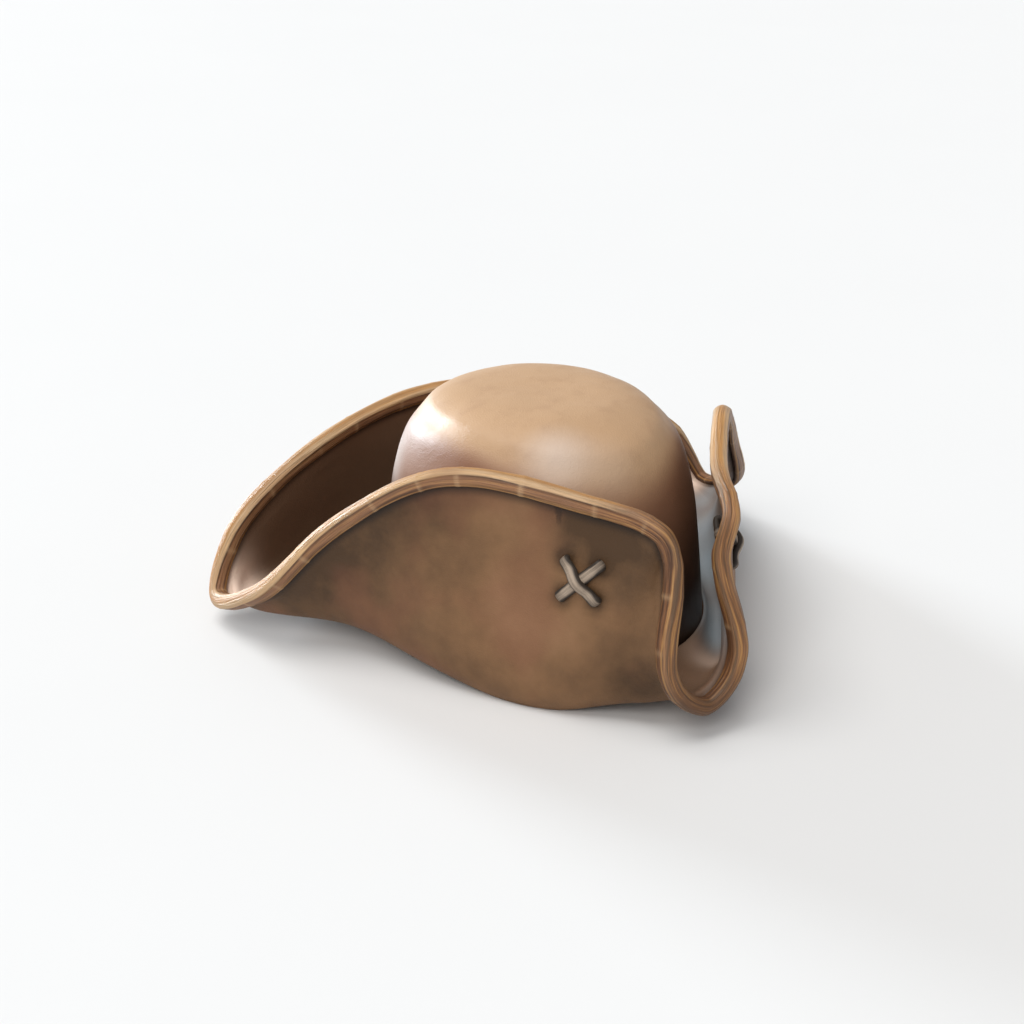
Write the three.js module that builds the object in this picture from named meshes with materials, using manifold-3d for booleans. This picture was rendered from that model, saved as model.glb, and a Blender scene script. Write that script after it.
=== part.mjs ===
// A three-cornered leather hat: a domed crown, one cocked brim, a rolled binding on the brim's edge
// and a crossed pair of laces through each side flap.
// Millimetres, +Z up. The front corner points to -Y and the wearer's right is -X.

import * as THREE from "three";
import Module from "manifold-3d";
import { mergeVertices } from "three/addons/utils/BufferGeometryUtils.js";

// Head opening and crown
const HEAD_WIDTH = 167;
const HEAD_LENGTH = 201;
const CROWN_LEATHER = 2.6;
const CROWN_FLOOR = 9.4;
const CROWN_TOP = 132.8;
const CROWN_SQUARENESS = 4.4;
const CROWN_TAPER_SHARE = 0.095;
const CROWN_SETBACK = 7;
const CROWN_PITCH = 5;

// Cocked brim
const BRIM_LEATHER = 2.6;
const HALF_WIDTH = 171.5;
const FRONT_REACH = 157.5;
const FLAP_HEIGHT = 118.6;
const SEAM_GAP = 0.5;
const HEAD_EDGE_HEIGHT = 10.7;
const FOLD_ROUNDING = 21;
const RIM_BAND = 8;
const WALL_EASE_SHARE = 0.35;
const RUN_EASE_SHARE = 0.5;
const EDGE_LEAN_SHARE = 0.3;
const REST_LEVEL = -1.2;
const SMOOTHING = 4;
const RELAXING = 5;

// Rolled binding
const BINDING_LEATHER = 3;
const BINDING_DEPTH = 6;
const BINDING_GAP = 0.35;
const BINDING_CORNER = 1.4;
const BINDING_ARC = [78, 42, 0];

// Crossed laces, placed by shares of the way from the front to the back and from the fold to the edge
const LACE_WIDTH = 6.8;
const LACE_THICKNESS = 2.4;
const LACE_CHAMFER = 0.6;
const LACE_GAP = 0.35;
const LACE_TAIL = 6.5;
const OVER_LACE_REACH = 13.2;
const UNDER_LACE_REACH = 14.8;
const LACE_ALONG_SHARE = 0.296;
const LACE_UP_SHARE = 0.765;
const LACE_BRIDGE_SHARE = 0.3;
const LACE_SETTLE_SHARE = 0.62;
const SLIT_DEPTH = 16;

// How finely the surfaces are divided
const CROWN_COLUMNS = 72;
const CROWN_ROWS = 9;
const BRIM_RUN_ROWS = 4;
const BRIM_WALL_ROWS = 8;

// One row per section of the brim, from the front corner round the wearer's right to the middle of the back.
// edgeX and foldX are shares of HALF_WIDTH, edgeY and foldY of FRONT_REACH, edgeZ and foldZ of FLAP_HEIGHT.
// angle is where the section leaves the crown, in degrees from the front. roundness is a share of
// FOLD_ROUNDING, and steps the number of strips to the next section.
const SECTION_COLUMNS = [
  "name", "edgeX", "edgeY", "edgeZ", "foldX", "foldY", "foldZ", "angle", "roundness", "steps",
];
const SECTION_ROWS = [
  ["front tip"    ,     0,     -1, 0.135,     0,  -0.81,    0.1,     0,       0.6,     2],
  ["front bowl"   , 0.092,  -0.99,  0.22,  0.05, -0.815,  0.095,     3,       0.7,     2],
  ["front flare"  , 0.126, -0.975, 0.367, 0.105,   -0.8,   0.08,     6,       0.8,     3],
  ["front waist"  , 0.079, -0.924, 0.761,  0.17, -0.743,  0.045,     9,      0.75,     3],
  ["front corner" , 0.115, -0.892, 0.925,  0.26,  -0.65, -0.015,    17,      0.75,     3],
  ["lace flap"    , 0.236, -0.656, 0.992,  0.36,  -0.52, -0.057,    32,         1,     4],
  ["side peak"    , 0.505,  -0.26,     1,  0.53,  -0.22,   0.03,    62,         1,     4],
  ["side fall"    , 0.748,  0.045, 0.676, 0.635,  0.085,   0.11,    90,         1,     4],
  ["rear run"     , 0.922,  0.247, 0.302,  0.76,   0.29,   0.11,   108,       0.9,     4],
  ["rear tip"     , 0.969,   0.54, 0.125,  0.85,   0.46,    0.1,   120,       0.7,     4],
  ["rear rise"    , 0.862,    0.6,  0.42, 0.735,    0.6,   0.09,   132,       0.9,     4],
  ["back shoulder", 0.472,  0.712, 0.705,  0.46,   0.75,  -0.02,   152,         1,     5],
  ["back peak"    ,     0,  0.826,  0.78,     0,   0.85, -0.045,   180,         1,     5],
];

const LEATHER = { color: 0x7d5b42, roughness: 0.5, metalness: 0 };
const CROWN_HIDE = { color: 0x96704f, roughness: 0.45, metalness: 0 };
const BINDING_HIDE = { color: 0x96693f, roughness: 0.55, metalness: 0 };
const LACE_HIDE = { color: 0x8c8072, roughness: 0.7, metalness: 0 };

const wasm = await Module();
wasm.setup();

const vec = (x, y, z) => new THREE.Vector3(x, y, z);
const radians = THREE.MathUtils.degToRad;
const mix = THREE.MathUtils.lerp;

/** Joins a closed grid of points, rows by columns, into triangles that face outwards. */
function closedGrid(rows, { firstPole = false, lastPole = false } = {}) {
  const positions = [];
  const faces = [];
  const start = [];
  rows.forEach((row, r) => {
    start.push(positions.length / 3);
    const isPole = (r === 0 && firstPole) || (r === rows.length - 1 && lastPole);
    (isPole ? row.slice(0, 1) : row).forEach((p) => positions.push(p.x, p.y, p.z));
  });
  const columns = rows[Math.floor(rows.length / 2)].length;
  const index = (r, c) => {
    const isPole = (r === 0 && firstPole) || (r === rows.length - 1 && lastPole);
    return start[r] + (isPole ? 0 : c % columns);
  };
  const bands = firstPole || lastPole ? rows.length - 1 : rows.length;
  for (let r = 0; r < bands; r += 1) {
    const next = (r + 1) % rows.length;
    for (let c = 0; c < columns; c += 1) {
      const [a, b, d, e] = [index(r, c), index(r, c + 1), index(next, c), index(next, c + 1)];
      if (a !== b) faces.push([a, b, d]);
      if (d !== e) faces.push([b, e, d]);
    }
  }
  return { positions, faces };
}

/** Turns points and triangles into a solid, facing outwards. */
function solid({ positions, faces }) {
  const a = new THREE.Vector3();
  const b = new THREE.Vector3();
  const c = new THREE.Vector3();
  let volume = 0;
  faces.forEach(([i, j, k]) => {
    a.fromArray(positions, 3 * i);
    b.fromArray(positions, 3 * j);
    c.fromArray(positions, 3 * k);
    volume += a.dot(b.cross(c));
  });
  const turned = volume < 0 ? faces.map(([i, j, k]) => [i, k, j]) : faces;
  const mesh = new wasm.Mesh({
    numProp: 3,
    vertProperties: new Float32Array(positions),
    triVerts: new Uint32Array(turned.flat()),
  });
  return new wasm.Manifold(mesh);
}

/** A point of the crown's outline, grown or shrunk by offset, at an angle from the front to the right. */
function crownPoint(angle, offset, scale, z) {
  const halfWidth = HEAD_WIDTH / 2 + offset;
  const halfLength = HEAD_LENGTH / 2 + offset;
  return vec(-halfWidth * scale * Math.sin(angle), CROWN_SETBACK - halfLength * scale * Math.cos(angle), z);
}

/** One skin of the crown, from its open rim to its top, which is pitched a little higher in front. */
function crownSkin(offset, top) {
  return Array.from({ length: CROWN_ROWS + 1 }, (_, r) => {
    const turn = (Math.PI / 2) * (r / CROWN_ROWS);
    const rise = Math.sin(turn) ** (2 / CROWN_SQUARENESS);
    const spread = r === CROWN_ROWS ? 0 : Math.cos(turn) ** (2 / CROWN_SQUARENESS);
    const scale = (1 - CROWN_TAPER_SHARE * rise) * spread;
    const height = CROWN_FLOOR + (top - CROWN_FLOOR) * rise;
    return Array.from({ length: CROWN_COLUMNS }, (_unused, c) => {
      const angle = (2 * Math.PI * c) / CROWN_COLUMNS;
      return crownPoint(angle, offset, scale, height + CROWN_PITCH * rise * scale * Math.cos(angle));
    });
  });
}

function crown() {
  const outside = crownSkin(CROWN_LEATHER, CROWN_TOP);
  const inside = crownSkin(0, CROWN_TOP - CROWN_LEATHER);
  const rows = [...inside.reverse(), ...outside];
  return solid(closedGrid(rows, { firstPole: true, lastPole: true }));
}

/** The sections in order round the whole hat, the wearer's left mirrored from the right. */
function allSections() {
  const sections = SECTION_ROWS.map((row) => (
    Object.fromEntries(SECTION_COLUMNS.map((column, k) => [column, row[k]]))
  ));
  const right = sections.map((s) => ({ ...s, side: -1 }));
  const left = sections.slice(1, -1).reverse().map((s) => ({ ...s, side: 1 }));
  const all = [...right, ...left];
  const half = sections.length - 1;
  return all.map((s, i) => {
    const steps = i < half ? sections[i].steps : sections[all.length - 1 - i].steps;
    return {
      edge: vec(s.side * s.edgeX * HALF_WIDTH, s.edgeY * FRONT_REACH, s.edgeZ * FLAP_HEIGHT),
      fold: vec(s.side * s.foldX * HALF_WIDTH, s.foldY * FRONT_REACH, s.foldZ * FLAP_HEIGHT),
      angle: radians(i <= half ? s.angle : 360 - s.angle),
      rounding: s.roundness * FOLD_ROUNDING,
      steps,
    };
  });
}

/** Stations all round the brim: where each leaves the crown, its fold, its edge and the edge's directions. */
function brimStations() {
  const sections = allSections();
  const count = sections.length;
  const edgeCurve = new THREE.CatmullRomCurve3(sections.map((s) => s.edge), true, "centripetal");
  const foldCurve = new THREE.CatmullRomCurve3(sections.map((s) => s.fold), true, "centripetal");
  const stations = [];
  sections.forEach((section, i) => {
    const next = sections[(i + 1) % count];
    const nextAngle = next.angle || 2 * Math.PI;
    for (let s = 0; s < section.steps; s += 1) {
      const share = (i + s / section.steps) / count;
      stations.push({
        angle: mix(section.angle, nextAngle, s / section.steps),
        rounding: mix(section.rounding, next.rounding, s / section.steps),
        edge: edgeCurve.getPoint(share),
        fold: foldCurve.getPoint(share),
        foldAlong: foldCurve.getTangent(share),
      });
    }
  });
  const around = (i, key) => {
    const before = stations[(i + stations.length - 1) % stations.length][key];
    const after = stations[(i + 1) % stations.length][key];
    return { before, after };
  };
  stations.forEach((station, i) => {
    const { before, after } = around(i, "edge");
    const back = station.edge.clone().sub(before).normalize();
    const on = after.clone().sub(station.edge).normalize();
    station.along = back.add(on).normalize();
    station.outward = vec(station.foldAlong.y, -station.foldAlong.x, 0).normalize();
    const fromCrown = vec(station.fold.x, station.fold.y - CROWN_SETBACK, 0);
    if (station.outward.dot(fromCrown) < 0) station.outward.negate();
  });
  smooth(stations, "outward");
  stations.forEach((station) => {
    const { edge, fold, along, outward, rounding } = station;
    station.rise = edge.clone().sub(fold).addScaledVector(outward, -rounding * EDGE_LEAN_SHARE);
    station.normal = along.clone().cross(station.rise).normalize();
  });
  smooth(stations, "normal");
  stations.forEach((station) => {
    const { along, normal, rise } = station;
    normal.addScaledVector(along, -normal.dot(along)).normalize();
    station.across = normal.clone().cross(along).normalize();
    rise.addScaledVector(normal, -rise.dot(normal));
  });
  return stations;
}

/** Evens out a direction from station to station. */
function smooth(stations, key) {
  for (let pass = 0; pass < SMOOTHING; pass += 1) {
    const old = stations.map((station) => station[key]);
    stations.forEach((station, i) => {
      const before = old[(i + old.length - 1) % old.length];
      const after = old[(i + 1) % old.length];
      station[key] = old[i].clone().multiplyScalar(2).add(before).add(after).normalize();
    });
  }
}

function bezier(a, b, c, d, t) {
  const s = 1 - t;
  return vec(0, 0, 0)
    .addScaledVector(a, s * s * s)
    .addScaledVector(b, 3 * s * s * t)
    .addScaledVector(c, 3 * s * t * t)
    .addScaledVector(d, t * t * t);
}

/** The middle of the leather along one section, from the head opening to the edge. */
function brimSection(station) {
  const { angle, edge, fold, outward, rise, across, rounding } = station;
  const start = crownPoint(angle, CROWN_LEATHER + SEAM_GAP, 1, HEAD_EDGE_HEIGHT);
  const run = fold.clone().sub(start);
  const leaving = start.clone().add(vec(run.x, run.y, 0).multiplyScalar(1 / 3));
  const arriving = fold.clone().addScaledVector(outward, -rounding * RUN_EASE_SHARE);
  const bandFoot = edge.clone().addScaledVector(across, -RIM_BAND);
  const points = [];
  for (let r = 0; r < BRIM_RUN_ROWS; r += 1) {
    const share = r / BRIM_RUN_ROWS;
    points.push(bezier(start, leaving, arriving, fold, share));
  }
  for (let r = 0; r <= BRIM_WALL_ROWS; r += 1) {
    const share = r / BRIM_WALL_ROWS;
    const low = fold.clone().addScaledVector(outward, rounding);
    const high = bandFoot.clone().addScaledVector(rise, -WALL_EASE_SHARE);
    points.push(bezier(fold, low, high, bandFoot, share));
  }
  points.push(edge.clone());
  return points;
}

/** Directions square to the brim's surface at every point of its grid. */
function gridNormals(grid) {
  const columns = grid.length;
  return grid.map((section, i) => section.map((_, j) => {
    const beside = grid[(i + 1) % columns][j].clone().sub(grid[(i + columns - 1) % columns][j]);
    const up = section[Math.min(j + 1, section.length - 1)].clone().sub(section[Math.max(j - 1, 0)]);
    return beside.cross(up).normalize();
  }));
}

/** The brim's middle surface, station by station, evened out between its head opening and its edge. */
function brimGrid(stations) {
  let grid = stations.map(brimSection);
  const count = grid.length;
  const fixed = (j) => j <= 1 || j >= grid[0].length - 2;
  for (let pass = 0; pass < RELAXING; pass += 1) {
    const old = grid;
    grid = old.map((section, i) => section.map((point, j) => {
      if (fixed(j)) return point;
      const beside = old[(i + count - 1) % count][j].clone().add(old[(i + 1) % count][j]);
      const upAndDown = section[j - 1].clone().add(section[j + 1]);
      return beside.add(upAndDown).addScaledVector(point, 4).multiplyScalar(1 / 8);
    }));
  }
  return grid;
}

function brimSkins(stations, grid) {
  const normals = gridNormals(grid);
  const last = grid[0].length - 1;
  const skin = (side) => grid[0].map((_, j) => grid.map((section, i) => {
    const rimOrField = j >= last - 1 ? stations[i].normal : normals[i][j];
    const direction = j === 0 ? vec(0, 0, Math.sign(normals[i][0].z)) : rimOrField;
    const point = section[j].clone().addScaledVector(direction, (side * BRIM_LEATHER) / 2);
    point.z = Math.max(point.z, REST_LEVEL);
    return point;
  }));
  return { outside: skin(1), inside: skin(-1) };
}

function uncutBrim(stations, grid) {
  const { outside, inside } = brimSkins(stations, grid);
  return solid(closedGrid([...outside, ...inside.reverse()]));
}

/** The binding's cut face: a leather channel closed over the brim's edge. */
function bindingProfile() {
  const slot = BRIM_LEATHER / 2 + BINDING_GAP;
  const half = slot + BINDING_LEATHER;
  const crest = BINDING_GAP + BINDING_LEATHER;
  const arc = BINDING_ARC.map(radians).map((turn) => [half * Math.cos(turn), crest * Math.sin(turn)]);
  const foot = [[half, BINDING_CORNER - BINDING_DEPTH], [half - BINDING_CORNER, -BINDING_DEPTH]];
  const oneSide = [...arc, ...foot, [slot, -BINDING_DEPTH]];
  const otherSide = oneSide.map(([side, out]) => [-side, out]).reverse();
  return [[slot, BINDING_GAP], [-slot, BINDING_GAP], ...otherSide, ...oneSide];
}

function binding(stations) {
  const rows = bindingProfile().map(([side, out]) => stations.map(({ edge, normal, across }) => (
    edge.clone().addScaledVector(normal, side).addScaledVector(across, out)
  )));
  return solid(closedGrid(rows));
}

/** Where the crossed laces sit on the wearer's right flap: their middle and the flap's directions there. */
function lacePlace(grid) {
  const along = LACE_ALONG_SHARE * (grid.length / 2);
  const up = BRIM_RUN_ROWS + LACE_UP_SHARE * BRIM_WALL_ROWS;
  const [i, j] = [Math.floor(along), Math.floor(up)];
  const rowPoint = (column) => grid[column][j].clone().lerp(grid[column][j + 1], up - j);
  const middle = rowPoint(i).lerp(rowPoint(i + 1), along - i);
  const forward = rowPoint(i - 1).sub(rowPoint(i + 2)).normalize();
  const upward = grid[i][j + 2].clone().sub(grid[i][j - 1]);
  const outward = forward.clone().cross(upward).normalize();
  if (outward.x > 0) outward.negate();
  const rise = vec(0, 0, 1).addScaledVector(outward, -outward.z).normalize();
  return { middle, outward, rise, forward: rise.clone().cross(outward).normalize() };
}

/** One lace's directions: its own run across the flap, its width and the way out of the flap. */
function laceFrame(place, turn) {
  const run = place.forward.clone().multiplyScalar(turn).add(place.rise).normalize();
  return { ...place, run, wide: place.outward.clone().cross(run).normalize() };
}

/** How far the flap's two faces lie from the middle of the crossing, at a distance along the run. */
function faceOffsets(frame, flap, distance) {
  const { middle, run, outward, wide } = frame;
  const caster = new THREE.Raycaster();
  const sides = [-LACE_WIDTH / 2, 0, LACE_WIDTH / 2].map((aside) => {
    const start = middle.clone().addScaledVector(run, distance).addScaledVector(wide, aside);
    caster.set(start.clone().addScaledVector(outward, LACE_WIDTH * 2), outward.clone().negate());
    const front = LACE_WIDTH * 2 - caster.intersectObject(flap)[0].distance;
    caster.set(start.clone().addScaledVector(outward, -LACE_WIDTH * 2), outward);
    const behind = caster.intersectObject(flap)[0].distance - LACE_WIDTH * 2;
    return { front, behind };
  });
  return {
    front: Math.max(...sides.map((side) => side.front)),
    behind: Math.min(...sides.map((side) => side.behind)),
  };
}

/** A flat lace that lies across the flap's face, goes through a slit at each end and turns back behind it. */
function lace(frame, flap, reach, lift) {
  const stand = LACE_GAP + LACE_THICKNESS / 2;
  const ends = [-1, 1].map((side) => faceOffsets(frame, flap, side * reach));
  const tails = [-1, 1].map((side) => faceOffsets(frame, flap, side * (reach - LACE_TAIL)));
  const depth = ends.map((end, k) => Math.min(end.behind, tails[k].behind) - stand);
  const steps = [-LACE_SETTLE_SHARE, -LACE_BRIDGE_SHARE, 0, LACE_BRIDGE_SHARE, LACE_SETTLE_SHARE];
  const over = steps.map((share) => {
    const raised = Math.abs(share) < LACE_SETTLE_SHARE ? lift : 0;
    return [share * reach, faceOffsets(frame, flap, share * reach).front + stand + raised];
  });
  const path = [
    [-reach + LACE_TAIL, depth[0]],
    [-reach, depth[0]],
    [-reach, ends[0].front + stand],
    ...over,
    [reach, ends[1].front + stand],
    [reach, depth[1]],
    [reach - LACE_TAIL, depth[1]],
  ].map(([x, y]) => new THREE.Vector2(x, y));
  const halfWide = LACE_WIDTH / 2;
  const halfThick = LACE_THICKNESS / 2;
  const cut = [
    [halfThick, halfWide - LACE_CHAMFER],
    [halfThick - LACE_CHAMFER, halfWide],
    [-halfThick + LACE_CHAMFER, halfWide],
    [-halfThick, halfWide - LACE_CHAMFER],
    [-halfThick, -halfWide + LACE_CHAMFER],
    [-halfThick + LACE_CHAMFER, -halfWide],
    [halfThick - LACE_CHAMFER, -halfWide],
    [halfThick, -halfWide + LACE_CHAMFER],
  ];
  const place = ({ x, y }, aside) => frame.middle.clone()
    .addScaledVector(frame.run, x).addScaledVector(frame.outward, y).addScaledVector(frame.wide, aside);
  const rings = path.map((point, k) => {
    const before = point.clone().sub(path[Math.max(k - 1, 0)]).normalize();
    const after = path[Math.min(k + 1, path.length - 1)].clone().sub(point).normalize();
    const along = before.clone().add(after).normalize();
    const mitre = 1 / Math.max(along.dot(k === 0 ? after : before), 0.5);
    const square = new THREE.Vector2(-along.y, along.x).multiplyScalar(mitre);
    return cut.map(([thick, aside]) => place(point.clone().addScaledVector(square, thick), aside));
  });
  const poles = [path[0], path[path.length - 1]].map((point) => cut.map(() => place(point, 0)));
  return solid(closedGrid([poles[0], ...rings, poles[1]], { firstPole: true, lastPole: true }));
}

/** The slits that a lace's two ends pass through. */
function slits(frame, reach) {
  const { run, wide, outward, middle } = frame;
  return [-1, 1].map((side) => {
    const size = [LACE_THICKNESS + 2 * LACE_GAP, LACE_WIDTH + 2 * LACE_GAP, SLIT_DEPTH];
    const box = mergeVertices(new THREE.BoxGeometry(...size).deleteAttribute("normal").deleteAttribute("uv"));
    const centre = middle.clone().addScaledVector(run, side * reach);
    box.applyMatrix4(new THREE.Matrix4().makeBasis(run, wide, outward).setPosition(centre));
    return solidOf(box);
  });
}

const MIRROR = new THREE.Matrix4().makeScale(-1, 1, 1);

function solidOf(geometry) {
  const triangles = Array.from(geometry.index.array);
  const faces = Array.from({ length: triangles.length / 3 }, (_, t) => triangles.slice(3 * t, 3 * t + 3));
  return solid({ positions: Array.from(geometry.attributes.position.array), faces });
}

function geometryOf(body) {
  const { vertProperties, triVerts } = body.getMesh();
  const geometry = new THREE.BufferGeometry();
  geometry.setAttribute("position", new THREE.BufferAttribute(new Float32Array(vertProperties), 3));
  geometry.setIndex(new THREE.BufferAttribute(new Uint32Array(triVerts), 1));
  geometry.computeVertexNormals();
  return geometry;
}

const mirrored = (body) => solidOf(geometryOf(body).applyMatrix4(MIRROR));

const stations = brimStations();
const grid = brimGrid(stations);
const uncut = uncutBrim(stations, grid);
const flap = new THREE.Mesh(geometryOf(uncut), new THREE.MeshStandardMaterial({ side: THREE.DoubleSide }));
const crossing = lacePlace(grid);
const overFrame = laceFrame(crossing, -1);
const underFrame = laceFrame(crossing, 1);
const underLace = lace(underFrame, flap, UNDER_LACE_REACH, 0);
const overLace = lace(overFrame, flap, OVER_LACE_REACH, LACE_THICKNESS + LACE_GAP);
const cuts = [...slits(overFrame, OVER_LACE_REACH), ...slits(underFrame, UNDER_LACE_REACH)];
const brim = cuts.reduce((body, slit) => body.subtract(slit).subtract(mirrored(slit)), uncut);

const pieces = [
  ["crown", crown(), CROWN_HIDE],
  ["brim", brim, LEATHER],
  ["edge_binding", binding(stations), BINDING_HIDE],
  ["right_lace_over", overLace, LACE_HIDE],
  ["right_lace_under", underLace, LACE_HIDE],
  ["left_lace_over", mirrored(overLace), LACE_HIDE],
  ["left_lace_under", mirrored(underLace), LACE_HIDE],
];

const extent = wasm.Manifold.compose(pieces.map(([, body]) => body)).boundingBox();
const settled = [0, -(extent.min[1] + extent.max[1]) / 2, -extent.min[2]];

const hat = new THREE.Group();
hat.name = "tricorn_hat";
pieces.forEach(([name, body, look]) => {
  const mesh = new THREE.Mesh(geometryOf(body.translate(settled)), new THREE.MeshStandardMaterial(look));
  mesh.name = name;
  hat.add(mesh);
});

export default hat;
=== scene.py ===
"""A three-cornered leather hat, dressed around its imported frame.

Sizes are in millimetres until a mesh is made. The finishes alone take theirs in metres, as shaders read them.
"""
import logging
import math
from dataclasses import dataclass
from enum import Enum
from typing import Any, Callable, Sequence, Union

import bpy
import numpy as np
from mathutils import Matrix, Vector
from mathutils.bvhtree import BVHTree


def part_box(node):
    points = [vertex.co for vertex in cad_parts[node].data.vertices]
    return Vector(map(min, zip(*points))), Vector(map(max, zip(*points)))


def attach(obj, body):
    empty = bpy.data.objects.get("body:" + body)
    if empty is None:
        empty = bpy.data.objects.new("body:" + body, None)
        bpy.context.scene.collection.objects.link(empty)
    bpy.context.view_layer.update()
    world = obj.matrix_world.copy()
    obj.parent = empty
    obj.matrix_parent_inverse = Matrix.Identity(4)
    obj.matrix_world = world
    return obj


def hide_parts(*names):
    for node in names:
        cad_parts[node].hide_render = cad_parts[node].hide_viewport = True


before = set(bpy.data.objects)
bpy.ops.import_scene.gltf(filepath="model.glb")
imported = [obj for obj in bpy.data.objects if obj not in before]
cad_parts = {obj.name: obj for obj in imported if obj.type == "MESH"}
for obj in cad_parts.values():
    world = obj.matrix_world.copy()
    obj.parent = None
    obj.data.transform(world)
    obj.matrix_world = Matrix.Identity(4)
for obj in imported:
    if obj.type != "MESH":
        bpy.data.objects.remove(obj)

LOG = logging.getLogger("hat")
MM = 0.001
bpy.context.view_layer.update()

Number = Union[int, float]
Colour = tuple[float, float, float]
Array = np.ndarray
Thing = bpy.types.Object
Tree = bpy.types.NodeTree
SOCKET_KINDS = {bool: "Bool", int: "Int", float: "Float", Thing: "Object", bpy.types.Material: "Material"}


class Skin(Enum):
    """The two faces of the brim's leather."""

    UPPER = 1
    UNDER = -1


class Side(Enum):
    """The wearer's two sides, as the sign of X."""

    RIGHT = -1
    LEFT = 1


class Thong(Enum):
    """The two thongs of a crossing, as the sign of their lean."""

    UNDER = 1
    OVER = -1


@dataclass(frozen=True)
class HatSizes:
    """The sizes that the hat's pieces share, in millimetres, with the front corner at -Y."""

    head_width: float = 167.0
    head_length: float = 201.0
    leather: float = 2.6
    crown_floor: float = 9.4
    crown_top: float = 132.8
    crown_squareness: float = 4.6
    crown_taper: float = 0.12
    crown_setback: float = 7.0
    crown_pitch: float = 5.0
    half_width: float = 171.5
    front_reach: float = 157.5
    flap_height: float = 118.6
    seam_gap: float = 0.5
    head_edge_height: float = 10.7
    fold_rounding: float = 21.0
    rim_band: float = 8.0
    wall_ease: float = 0.35
    run_ease: float = 0.5
    edge_lean: float = 0.3
    rest_level: float = -1.2
    lace_along: float = 0.292
    lace_up: float = 0.775
    under_reach: float = 14.8
    over_reach: float = 13.2
    cap_half_width: float = 63.0
    cap_half_length: float = 86.0

    def shift(self) -> Array:
        """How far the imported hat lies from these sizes' own origin."""
        low, high = (np.array(corner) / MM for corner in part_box("crown"))
        return np.array([0.0, (low[1] + high[1]) / 2 - self.crown_setback, low[2] - self.crown_floor])

    def cap(self) -> tuple[float, float, float]:
        """Half the width and half the length of the crown's cap and its middle along Y, in metres."""
        return self.cap_half_width * MM, self.cap_half_length * MM, (self.crown_setback + self.shift()[1]) * MM

    def lace_reach(self, thong: Thong) -> float:
        """How far a thong goes to each side of the crossing."""
        return self.over_reach if thong is Thong.OVER else self.under_reach


@dataclass(frozen=True)
class Stain:
    """A soft patch, by its middle, its reach and its strength."""

    place: tuple[float, float, float]
    reach: float
    strength: float


def patches(*rows: tuple[float, float, float, float, float]) -> tuple[Stain, ...]:
    """Makes patches from rows of X, Y, Z, reach and strength."""
    return tuple(Stain(row[:3], row[3], row[4]) for row in rows)


def colour(red: Number, green: Number, blue: Number) -> Colour:
    """A screen colour of 0 to 255 a channel, as the linear colour that a shader takes."""
    return tuple(((c / 255 + 0.055) / 1.055) ** 2.4 if c > 10.3 else c / 255 / 12.92 for c in (red, green, blue))


def maths_operator(operation: str, flip: bool = False) -> Callable[["Wire", Any], "Wire"]:
    """Makes one of Python's operators, which adds a Math node.

    Args:
        operation: The Math node's operation.
        flip: Whether the other value comes first.

    Returns:
        The operator.
    """
    def method(wire: "Wire", other: Any) -> "Wire":
        """The operation on this wire and the other value."""
        return wire.maths(operation, other, flip=flip)
    return method


class Wire:
    """A node socket on which Python's operators add maths nodes."""

    __add__ = __radd__ = maths_operator("ADD")
    __mul__ = __rmul__ = maths_operator("MULTIPLY")
    __sub__, __rsub__ = maths_operator("SUBTRACT"), maths_operator("SUBTRACT", True)
    __truediv__, __rtruediv__ = maths_operator("DIVIDE"), maths_operator("DIVIDE", True)
    __pow__, __rpow__ = maths_operator("POWER"), maths_operator("POWER", True)

    def __init__(self, bench: "Bench", socket: bpy.types.NodeSocket) -> None:
        """Keeps the socket and the bench that its nodes are made on."""
        self.bench = bench
        self.socket = socket

    def maths(self, operation: str, *others: Any, flip: bool = False) -> "Wire":
        """Adds one Math node on this and the others, with this last where it is flipped."""
        values = (*others, self) if flip else (self, *others)
        return self.bench.node("ShaderNodeMath", {"operation": operation}, dict(enumerate(values)))

    def __abs__(self) -> "Wire":
        """This without its sign."""
        return self.maths("ABSOLUTE")

    def above(self, low: Any, high: Any) -> "Wire":
        """0 below low, 1 above high and a soft step between."""
        inputs = {"Value": self, "From Min": low, "From Max": high}
        return self.bench.node("ShaderNodeMapRange", {"interpolation_type": "SMOOTHSTEP"}, inputs)

    def clamped(self) -> "Wire":
        """This kept between 0 and 1."""
        return self.maths("MAXIMUM", 0.0).maths("MINIMUM", 1.0)


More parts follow.
